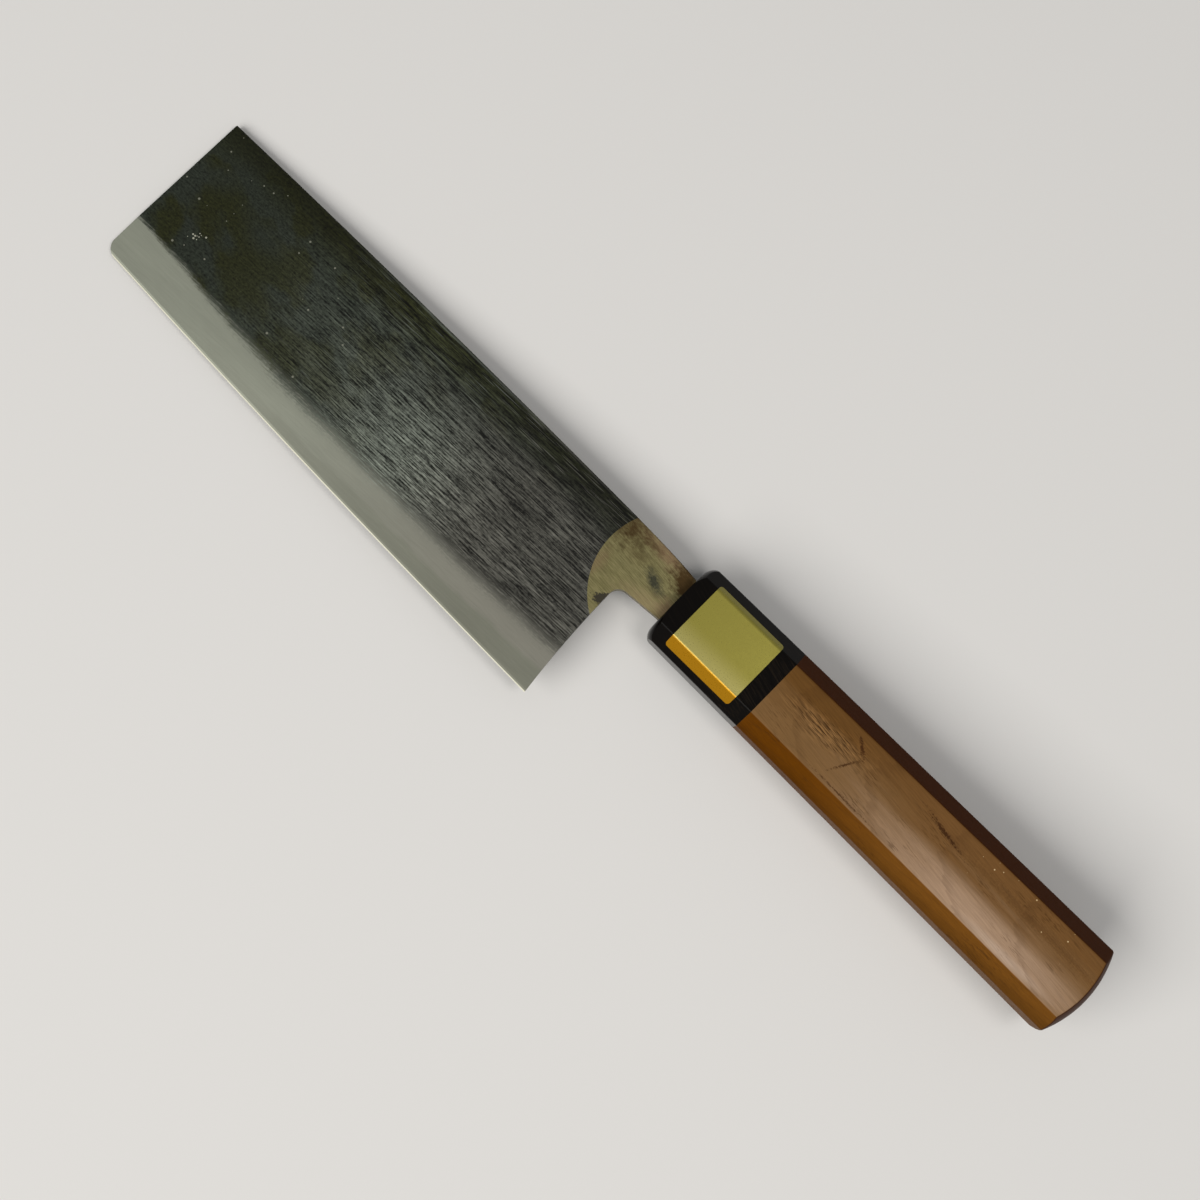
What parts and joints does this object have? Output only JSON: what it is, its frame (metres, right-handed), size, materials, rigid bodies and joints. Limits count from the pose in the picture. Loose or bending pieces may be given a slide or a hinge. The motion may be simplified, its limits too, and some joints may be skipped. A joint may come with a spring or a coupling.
{
  "type": "nakiri knife",
  "caption": "Vegetable knife with a squared laminated blade, a wide ground bevel on each side, a rustproof neck, and an octagonal wooden handle with a black ferrule.",
  "frame": {"origin": "under the middle of the knife's box, level with the lowest point of the handle, with the knife lying on its right side", "axes": "+X from tip to butt, +Y from cutting edge to spine, +Z out of the left face of the blade"},
  "size_m": [0.2966, 0.0548, 0.0201],
  "materials": {
    "core_steel": "satin ground, with a polished line along the cutting edge",
    "forged_cladding": "black forge scale brushed along the blade, satin grey where the bevel is ground",
    "neck_steel": "satin, warm straw tint with brown smudges",
    "ferrule_black": "polished black, faint grain",
    "walnut": "oiled walnut, satin",
    "dowel_wood": "bare pale hardwood",
    "resin": "cast amber resin",
    "gold_foil": "gold foil on paper, plain, semi-gloss"
  },
  "bodies": {
    "root": {"core_steel": "core_steel", "cladding_left": "forged_cladding", "cladding_right": "forged_cladding", "tang": "neck_steel", "ferrule": "ferrule_black", "handle_body": "walnut", "dowel": "dowel_wood", "tang_adhesive": "resin", "label": "gold_foil"}
  },
  "joints": []
}
